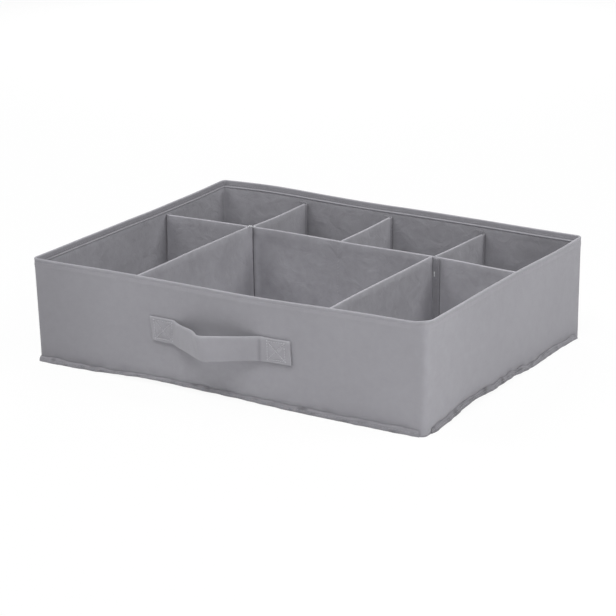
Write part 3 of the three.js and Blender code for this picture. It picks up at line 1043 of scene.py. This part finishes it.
# Bottom binding: a folded strip sewn over the bottom seam, one run for each wall
bindingSizes = {
    "pitch": 1.8,
    "fullness": 0.2,  # how far it bulges out
    "lumpSize": 13,
    "lump": 0.7,
    "puckerSize": 6,
    "pucker": 0.5,
    "edgeShare": 0.36,  # thickness of its upper edge, pressed flat on the wall
    "edgeLevels": (3, 7.5),  # heights between which it thins to that
    # How much of its height shows along each wall; the rest has rolled under
    "heightShares": {
        "front": ((-225, 1.05), (-205, 0.95), (-185, 0.75), (-110, 0.55), (0, 0.7), (110, 0.9), (220, 1.0)),
        "back": ((-220, 0.8), (220, 0.8)),
        "left": ((-170, 0.8), (170, 0.8)),
        "right": ((-170, 1.0), (-60, 0.95), (40, 0.85), (170, 0.8)),
    },
    "highest": 1.05,  # no share is more than this, waves included
    "waveSize": 17,
    "waves": {"front": 0.25, "back": 0.35, "left": 0.35, "right": 0.55},
    "stitchHeight": 3.6,
    "stitchPinch": 0.3,
    "endRound": 2.2,
    "endSteps": (0, 0.25, 0.8, 1.5),
    "endLump": 0.3,
    "endShare": 0.3,  # thickness and height of an end
    "endFlat": 11,  # reach over which an end at the front right corner lies flat
    # painted shade along the whole binding, at the foot
    "paintedShade": 0.26,
    "rightShade": 0.3,  # more painted shade along the middle of the right wall
    "soilSpots": 0.7,
    "overshoot": {"front": (-6.5, 3), "back": (0, 0), "left": (-3, 0), "right": (4, -1.5)},
    "seeds": {"front": 1, "back": 5, "left": 9, "right": 13},
}


def bindingSection(halfThick, height):
    radius = halfThick
    section = arc(0, radius, radius, 180, 360, 6)
    section += [(halfThick, z) for z in steps(radius, height - radius, 0.5)[1:-1]]
    section += arc(0, height - radius, radius, 0, 180, 7)
    section += [(-halfThick, z) for z in steps(height - radius, radius, 1)[1:-1]]
    return section


def makeBinding(side):
    s = bindingSizes
    low, high = nodeBox(f"bottom_binding_{side}")
    axis, across = (0, 1) if side in ("front", "back") else (1, 0)
    outward = -1 if side in ("front", "left") else 1
    middle = (low[across] + high[across]) / 2
    halfThick = (high[across] - low[across]) / 2
    start, end = (corner[axis] + more for corner, more in zip((low, high), s["overshoot"][side]))
    seed = s["seeds"][side]

    def stripPoint(place, off, height):  # along its wall, off the wall, and up
        point = Vector((0, 0, low.z + height))
        point[axis] = place
        point[across] = middle + outward * off
        return point

    def offWall(place, thick, z, flat, fullness):
        share = fullness * (1 - (1 - s["edgeShare"]) * ramp(z, *s["edgeLevels"]))
        outer = ease(thick / halfThick) if thick > 0 else 0
        pucker = s["pucker"] * drift(place, 2 * z, seed, s["puckerSize"])
        pinch = s["stitchPinch"] * swell(z, s["stitchHeight"], 0.9)
        return (thick + halfThick) * share - halfThick + outer * flat * (s["fullness"] + pucker - pinch)

    # Painted shade along the binding, more on the right wall, with dirt in random spots
    def paintedLightAndDirtAt(x, y, z):
        more = s["rightShade"] * swell(y, -50, 110) if side == "right" else 0
        return -s["paintedShade"] - more - s["soilSpots"] * max(drift(x, y, 2 * z, 8, seed), 0)

    places = [start + d for d in s["endSteps"]]
    places += [place for place in steps(start, end, s["pitch"])[1:-1] if start + 2 < place < end - 2]
    places += [end - d for d in s["endSteps"][::-1]]
    section = bindingSection(halfThick, high.z - low.z)
    rings, seam = [], []
    for place in places:
        fromEnd = min(place - start, end - place)
        fromCorner = {"front": end - place, "right": place - start}.get(side, s["endFlat"])
        flat = s["endShare"] + (1 - s["endShare"]) * ease(fromCorner / s["endFlat"])
        rounding = math.sqrt(1 - (1 - min(fromEnd / s["endRound"], 1)) ** 2)
        closing = s["endShare"] + (1 - s["endShare"]) * rounding
        lump = s["endLump"] * swell(fromEnd, 4, 3) + s["lump"] * drift(place, seed, 0, s["lumpSize"])
        fullness = flat * (1 + lump)
        wave = s["waves"][side] * drift(place, seed, 3, s["waveSize"])
        stretch = closing * min(between(place, s["heightShares"][side]) + wave, s["highest"])
        ring = []
        for thick, z in section:
            ring.append(stripPoint(place, closing * offWall(place, thick, z, flat, fullness), z * stretch))
        rings.append(ring)
        if fromEnd > 3:
            off = offWall(place, halfThick, s["stitchHeight"], flat, fullness)
            seam.append(stripPoint(place, off, s["stitchHeight"] * stretch))
    lengths = [place - start for place in places]
    strip = loft(f"{side}_binding_fabric", rings, lengths, bindingFabric, paintedLightAndDirtAt)
    dress(strip, "binding_fabric", f"bottom_binding_{side}")
    return seam


bindingSeams = [makeBinding(side) for side in ("front", "back", "left", "right")]
print("binding made")

# Handle: one strap of folded fabric, sewn flat at both ends, its middle standing off.
# Places along it count from the handle's middle.
strapSizes = {
    "width": 26,
    "thickness": 2,
    "edgeRadius": 0.9,
    "ends": (-76.5, 82.5),
    "endSlants": (1.2, 1.0),  # how far each end's lower corner stands to the right
    "slantReach": 20,
    "feet": (-48.3, 47.8),
    "footBends": (4, 1.8),
    "crestAt": -1.3,
    "crestRise": 28.5,
    "crestBend": 6,
    "crestSlant": 3.1,  # the fold at the crest runs down to the right
    "crestSpread": 14,
    "legLean": 3.3,  # how far the left leg's upper edge leans back before the crest
    "legLeanAt": -15,
    "legLeanSpread": 7,
    "crown": 0.35,  # how far its loose middle bulges out
    "unevenness": 0.25,
    "lifts": ((-77, 1.3), (-48, 1.1), (-5, 0.4), (49, 1.3), (83, 1.5)),
    "footDip": 1.4,
    "footDipSpread": 8,
    "rightEndWidth": 0.955,
    "stitchBoxes": ((-62, 10.2), (66, 9.6)),  # middle and half length
    "boxHalfHeight": 9.6,
    "stitchPinch": 0.6,
    "pinchSpread": 1.2,
    # painted highlight along the strap's long edges
    "edgeHighlight": 0.5,
    # painted shade in the crease at the right foot
    "creaseShade": 0.3,
    "pitch": 1.1,
    "blendStart": 2.5,  # how far off the wall its motion with the grip begins, and is whole
    "blendEnd": 14,
}
handleJoint = frame["joints"][0]
handleMiddle = handleJoint["pos_m"][0] / mm
handleHeight = handleJoint["pos_m"][2] / mm
strapSeat = layerGap + strapSizes["thickness"] / 2


def onLine(first, last, share):
    return tuple(a + (b - a) * share for a, b in zip(first, last))


def bendBetween(start, corner, end, count):
    points = []
    for k in range(count + 1):
        t = k / count
        points.append(onLine(onLine(start, corner, t), onLine(corner, end, t), t))
    return points


# Centreline of the strap seen from above: along the wall, and off the wall
def strapRoute():
    s = strapSizes
    crest = (s["crestAt"], strapSeat + s["crestRise"])
    left, right = ((foot, strapSeat) for foot in s["feet"])
    start, end = ((place, strapSeat) for place in s["ends"])

    def straight(first, last):
        count = max(1, round(math.dist(first, last) / s["pitch"]))
        return [onLine(first, last, k / count) for k in range(count + 1)]

    route = [start]
    bends = (s["footBends"][0], s["crestBend"], s["footBends"][1])
    for corner, after, reach in zip((left, crest, right), (crest, right, end), bends):
        entry = onLine(corner, route[-1], reach / math.dist(corner, route[-1]))
        leave = onLine(corner, after, reach / math.dist(corner, after))
        route += straight(route[-1], entry)[1:] + bendBetween(entry, corner, leave, 16)[1:]
    return route + straight(route[-1], end)[1:]


# How far the box stitches and their diagonals pull the strap in
def patchPinch(x, z):
    s = strapSizes
    middle, halfX = s["stitchBoxes"][0 if x < 0 else 1]
    halfZ, alongX = s["boxHalfHeight"], x - middle
    outside = max(abs(alongX) - halfX, abs(z) - halfZ)
    if outside > 3:
        return 0
    offDiagonal = min(abs(alongX * halfZ - z * halfX), abs(alongX * halfZ + z * halfX))
    offDiagonal /= math.hypot(halfX, halfZ)
    nearest = min(abs(outside), offDiagonal) if outside < 0 else outside
    return s["stitchPinch"] * swell(nearest, 0, s["pinchSpread"])


# How the strap stands along its length: its lift, its dip at the left foot and its width
def strapStand(x):
    s = strapSizes
    left, right = s["feet"]
    dip = s["footDip"] * swell(x, left + 6, s["footDipSpread"]) * ramp(x, left - 2, left + 2)
    width = 1 + (s["rightEndWidth"] - 1) * ease((x - right) / 12)
    return between(x, s["lifts"]) - dip, width


def strapPoint(x, rise, z, outX, outRise, offset):
    return Vector((handleMiddle + x + outX * offset, -halfDepth - rise - outRise * offset, handleHeight + z))


def strapSection():
    s = strapSizes
    half, radius = s["thickness"] / 2, s["edgeRadius"]
    flat = s["width"] / 2 - radius
    section = arc(-flat, 0, radius, 270, 90, 6)[1:-1] + [(z, half) for z in steps(-flat, flat, 1)]
    return section + arc(flat, 0, radius, 90, -90, 6)[1:-1] + [(z, -half) for z in steps(flat, -flat, 4)]


# Painted highlight on the strap's long edges and painted shade in the crease at its right foot
def strapPaintedLight(x, y, z):
    s = strapSizes
    crease = s["creaseShade"] * swell(x - handleMiddle, s["feet"][1] + 0.5, 1.3)
    return s["edgeHighlight"] * swell(abs(z - handleHeight), s["width"] / 2, 1.2) - crease


def makeStrap():
    s = strapSizes
    (left, right), reach = s["feet"], s["slantReach"]
    halfWide, half = s["width"] / 2, s["thickness"] / 2
    route, section = strapRoute(), strapSection()
    rings = []
    for k, (x, rise) in enumerate(route):
        outX, outRise = leftOf(route, k)
        loose = ease(min(x - left, right - x) / 8)
        lift, width = strapStand(x)
        slant = s["endSlants"][0] * ease((left - x) / reach) + s["endSlants"][1] * ease((x - right) / reach)
        slant += s["crestSlant"] * swell(x, s["crestAt"], s["crestSpread"])
        lean = s["legLean"] * swell(x, s["legLeanAt"], s["legLeanSpread"])
        ring = []
        for z, offset in section:
            up = z / halfWide
            pinch = patchPinch(x, z) if offset > 0 else 0
            crown = s["crown"] * loose * (1 - up ** 2)
            soft = s["unevenness"] * drift(x, z, 7, 16) * (0.3 + loose)
            off = rise - lean * (0.5 + 0.5 * up) + crown + soft * loose
            pulled = offset - pinch * offset / half
            ring.append(strapPoint(x - slant * up, off, z * width + lift, outX, outRise, pulled))
        rings.append(ring)
    return loft("handle_strap", rings, runLengths(route), strapFabric, strapPaintedLight)


handleStrap = makeStrap()
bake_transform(handleStrap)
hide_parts("handle_left_end", "handle_grip", "handle_right_end")
print("strap made")


# Rows of stitches: one Geometry Nodes tree lays a short rounded thread at each pitch of a path
def stitchTree():
    tree = bpy.data.node_groups.new("stitchRow", "GeometryNodeTree")
    tree.interface.new_socket("Path", in_out="INPUT", socket_type="NodeSocketGeometry")
    numbers = (("Pitch", 3 * mm), ("Length", 2.4 * mm), ("Width", 0.45 * mm), ("Unevenness", 0.12))
    for label, value in numbers:
        tree.interface.new_socket(label, in_out="INPUT", socket_type="NodeSocketFloat").default_value = value
    tree.interface.new_socket("Seed", in_out="INPUT", socket_type="NodeSocketInt").default_value = 1
    tree.interface.new_socket("Thread", in_out="INPUT", socket_type="NodeSocketMaterial")
    tree.interface.new_socket("Stitches", in_out="OUTPUT", socket_type="NodeSocketGeometry")
    given = tree.nodes.new("NodeGroupInput").outputs
    path = {"Curve": given["Path"], "Length": given["Pitch"]}
    places = addNode(tree, "GeometryNodeResampleCurve", path, mode="LENGTH")
    bead = addNode(tree, "GeometryNodeMeshUVSphere", {"Segments": 7, "Rings": 5, "Radius": 0.5})
    extent = {0: given["Length"], 1: given["Width"], 2: given["Width"]}
    beadSize = addNode(tree, "ShaderNodeCombineXYZ", extent)
    shaped = {"Geometry": bead.outputs["Mesh"], "Scale": beadSize.outputs[0]}
    bead = addNode(tree, "GeometryNodeTransform", shaped)
    tangent = addNode(tree, "GeometryNodeInputTangent")
    aligned = addNode(tree, "FunctionNodeAlignRotationToVector", {"Vector": tangent.outputs[0]}, axis="X")
    smaller = reckon(tree, "SUBTRACT", 1.0, given["Unevenness"])
    larger = reckon(tree, "ADD", 1.0, given["Unevenness"])
    scales = {2: smaller, 3: larger, "Seed": given["Seed"]}
    uneven = addNode(tree, "FunctionNodeRandomValue", scales, data_type="FLOAT")
    beads = {
        "Points": places.outputs[0],
        "Instance": bead.outputs[0],
        "Rotation": aligned.outputs[0],
        "Scale": uneven.outputs[1],
    }
    laid = addNode(tree, "GeometryNodeInstanceOnPoints", beads)
    real = addNode(tree, "GeometryNodeRealizeInstances", {"Geometry": laid.outputs[0]})
    smooth = addNode(tree, "GeometryNodeSetShadeSmooth", {"Geometry": real.outputs[0]})
    thread = {"Geometry": smooth.outputs[0], "Material": given["Thread"]}
    dressed = addNode(tree, "GeometryNodeSetMaterial", thread)
    addNode(tree, "NodeGroupOutput", {0: dressed.outputs[0]})
    return tree


stitchRow = stitchTree()
# Each kind of stitch: pitch, length, width, unevenness and seed
stitchSizes = {
    "rim": (3.1, 2.5, 0.4, 0.1, 3),
    "binding": (3.4, 2.6, 0.45, 0.15, 7),
    "divider": (3.2, 2.5, 0.4, 0.12, 11),
    "tack": (0.8, 1.5, 1.1, 0.1, 9),
    "box": (2.4, 2.2, 0.7, 0.12, 5),
}


def sewRows(name, kind, paths, thread, *replaced, closed=False):
    curve = bpy.data.curves.new(name + "_path", "CURVE")
    curve.dimensions = "3D"
    for path in paths:
        spline = curve.splines.new("POLY")
        spline.points.add(len(path) - 1)
        spline.points.foreach_set("co", [value for spot in path for value in (*(settle(spot) * mm), 1)])
        spline.use_cyclic_u = closed
    guide = bpy.data.objects.new(name + "_path", curve)
    bpy.context.scene.collection.objects.link(guide)
    modifier = guide.modifiers.new("stitches", "NODES")
    modifier.node_group = stitchRow
    pitch, length, width, unevenness, seed = stitchSizes[kind]
    inputs = {"Pitch": pitch * mm, "Length": length * mm, "Width": width * mm}
    inputs.update({"Unevenness": unevenness, "Seed": seed, "Thread": thread})
    for item in stitchRow.interface.items_tree:
        if item.in_out == "INPUT" and item.name in inputs:
            modifier[item.identifier] = inputs[item.name]
    evaluated = guide.evaluated_get(bpy.context.evaluated_depsgraph_get())
    mesh = bpy.data.meshes.new_from_object(evaluated)
    mesh.name = name
    row = bpy.data.objects.new(name, mesh)
    bpy.context.scene.collection.objects.link(row)
    bpy.data.objects.remove(guide)
    dress(row, "thread", *replaced)


innerLeg = innerLegInset + legLean(rimStitchHeight) + coverHalf
innerRow = innerLeg - coverSizes["innerPinchShare"] * coverSizes["stitchPinch"]
rimRows = []
for inset in (coverSizes["stitchPinch"], innerRow):
    rimRows.append([(x + inX * inset, y + inY * inset, rimStitchHeight) for x, y, inX, inY in coverStations])
sewRows("rim_stitches", "rim", rimRows, greyThread, "rim_stitching", closed=True)
sewRows("binding_stitches", "binding", bindingSeams, greyThread)
sewRows("divider_stitches", "divider", dividerSeams, greyThread)


# Bar tacks of a paler thread, where the front dividers meet the long one
def tackPaths():
    longLow, longHigh = nodeBox("long_divider_sleeve")
    leftEnd = nodeBox("front_left_divider_board")[1].y
    rightHigh = nodeBox("front_right_divider_board")[1]
    (_, aside), (_, lift) = dividerSizes["shifts"]["front_left"]
    leftX = frontCrossings[0] + aside
    top = longHigh.z + lift + 0.4
    paths = []
    for x in (leftX + 0.5, leftX + 2.9, leftX + 7):
        paths.append([Vector((x, leftEnd + reach, top)) for reach in (-1, 0.5, 2)])
    paths.append([Vector((rightHigh.x + 2, longLow.y - 1.5, rightHigh.z - drop)) for drop in (15, 17, 19)])
    return paths


sewRows("crossing_tacks", "tack", tackPaths(), paleThread)


# The box of stitches on one end of the strap, with its two diagonals
def boxStitchPaths(box):
    s = strapSizes
    rise = strapSeat + s["thickness"] / 2 - s["stitchPinch"] + 0.2
    middle, halfLength = s["stitchBoxes"][box]
    left, right = middle - halfLength, middle + halfLength
    low, high = -s["boxHalfHeight"], s["boxHalfHeight"]
    corners = ((left, low), (right, low), (right, high), (left, high))
    paths = []
    for first, last in ((0, 1), (1, 2), (2, 3), (3, 0), (0, 2), (1, 3)):
        spots = []
        for share in steps(0, 1, 0.1):
            x, z = onLine(corners[first], corners[last], share)
            lift, width = strapStand(x)
            slant = s["endSlants"][box] * ease(abs(x - s["feet"][box]) / s["slantReach"])
            spots.append(strapPoint(x - slant * z / (s["width"] / 2), rise, z * width + lift, 0, 1, 0))
        paths.append(spots)
    return paths


for box, side in enumerate(("left", "right")):
    node = f"handle_{side}_stitching"
    sewRows(f"handle_{side}_box_stitch", "box", boxStitchPaths(box), lightThread, node)
print("stitches sewn")

# Floor, world and lamps
stageSizes = {"floorHalf": 12, "floorColour": (240, 240, 240), "shownWhite": 0.94, "worldStrength": 0.02}


# 1 where the camera sees a surface directly, in a mirror or through glass, else 0
def seenRays(tree):
    ray = addNode(tree, "ShaderNodeLightPath").outputs
    seen = reckon(tree, "MAXIMUM", ray["Is Camera Ray"], ray["Is Glossy Ray"])
    return reckon(tree, "MAXIMUM", seen, ray["Is Transmission Ray"])


def makeFloor():
    half = stageSizes["floorHalf"]
    corner = Vector((half, half))
    mesh = bpy.data.meshes.new("floor")
    mesh.from_pydata([(x, y, 0) for x, y in plainOutline(-corner, corner)], [], [(0, 1, 2, 3)])
    floor = bpy.data.objects.new("floor", mesh)
    bpy.context.scene.collection.objects.link(floor)
    material = bpy.data.materials.new("floorPaint")
    material.use_nodes = True
    tree = material.node_tree
    tree.nodes.remove(tree.nodes["Principled BSDF"])
    paint = addNode(tree, "ShaderNodeBsdfDiffuse", {"Color": srgb(*stageSizes["floorColour"])})
    white = addNode(tree, "ShaderNodeEmission", {"Color": (1, 1, 1, 1), "Strength": 1})
    share = reckon(tree, "MULTIPLY", seenRays(tree), stageSizes["shownWhite"])
    mixed = addNode(tree, "ShaderNodeMixShader", {0: share, 1: paint.outputs[0], 2: white.outputs[0]})
    tree.links.new(mixed.outputs[0], tree.nodes["Material Output"].inputs["Surface"])
    mesh.materials.append(material)


def makeWorld():
    world = bpy.data.worlds.new("studioWorld")
    bpy.context.scene.world = world
    world.use_nodes = True
    tree = world.node_tree
    soft = tree.nodes["Background"]
    soft.inputs["Color"].default_value = (1, 1, 1, 1)
    soft.inputs["Strength"].default_value = stageSizes["worldStrength"]
    white = addNode(tree, "ShaderNodeBackground", {"Color": (1, 1, 1, 1), "Strength": 1})
    mixed = addNode(tree, "ShaderNodeMixShader", {0: seenRays(tree), 1: soft.outputs[0], 2: white.outputs[0]})
    tree.links.new(mixed.outputs[0], tree.nodes["World Output"].inputs["Surface"])


# Each lamp faces the middle of the floor: its place, its width in metres and its power in watts
lamps = {
    "keyLamp": ((0.4, -1.0, 1.8), 1.0, 17.6),
    "sideLamp": ((1.2, 0.4, 1.2), 1.0, 14.8),
    "leftLamp": ((-0.9, -0.5, 1.4), 0.9, 11),
    "frontLamp": ((0.3, -2.0, 0.6), 1.2, 5.4),
    "cornerLamp": ((0.75, -0.5, 0.45), 0.5, 0.9),
    "backLamp": ((-1.0, 1.7, 0.8), 1.4, 22),
}


def softLamp(name, place, size, power):
    light = bpy.data.lights.new(name, "AREA")
    light.shape = "DISK"
    light.size = size
    light.energy = power
    lamp = bpy.data.objects.new(name, light)
    lamp.location = place
    lamp.rotation_euler = (-Vector(place)).to_track_quat("-Z", "Y").to_euler()
    bpy.context.scene.collection.objects.link(lamp)


makeFloor()
makeWorld()
for name, (place, size, power) in lamps.items():
    softLamp(name, place, size, power)

# Camera at the photograph's angle, solved from the box's seven visible corners
cameraView = {
    "azimuth": 31.0736,
    "elevation": 17.6196,
    "roll": -0.4934,
    "distance": 2.17027,
    "target": (0.012, -0.029595, 0.05305),
    "lens": 126.18,
}


def makeCamera():
    v = cameraView
    azimuth, elevation, roll = (math.radians(v[key]) for key in ("azimuth", "elevation", "roll"))
    level = math.cos(elevation)
    back = Vector((math.sin(azimuth) * level, -math.cos(azimuth) * level, math.sin(elevation)))
    right = Vector((0, 0, 1)).cross(back).normalized()
    up = back.cross(right)
    rolledRight = right * math.cos(roll) + up * math.sin(roll)
    rolledUp = up * math.cos(roll) - right * math.sin(roll)
    data = bpy.data.cameras.new("photoCamera")
    data.sensor_width = 36
    data.lens = v["lens"]
    data.clip_start, data.clip_end = 0.05, 60
    camera = bpy.data.objects.new("photoCamera", data)
    turn = Matrix((rolledRight, rolledUp, back)).transposed().to_4x4()
    camera.matrix_world = Matrix.Translation(Vector(v["target"]) + back * v["distance"]) @ turn
    bpy.context.scene.collection.objects.link(camera)
    bpy.context.scene.camera = camera


makeCamera()
bpy.context.scene.view_settings.view_transform = "Standard"
print("stage, lamps and camera ready")
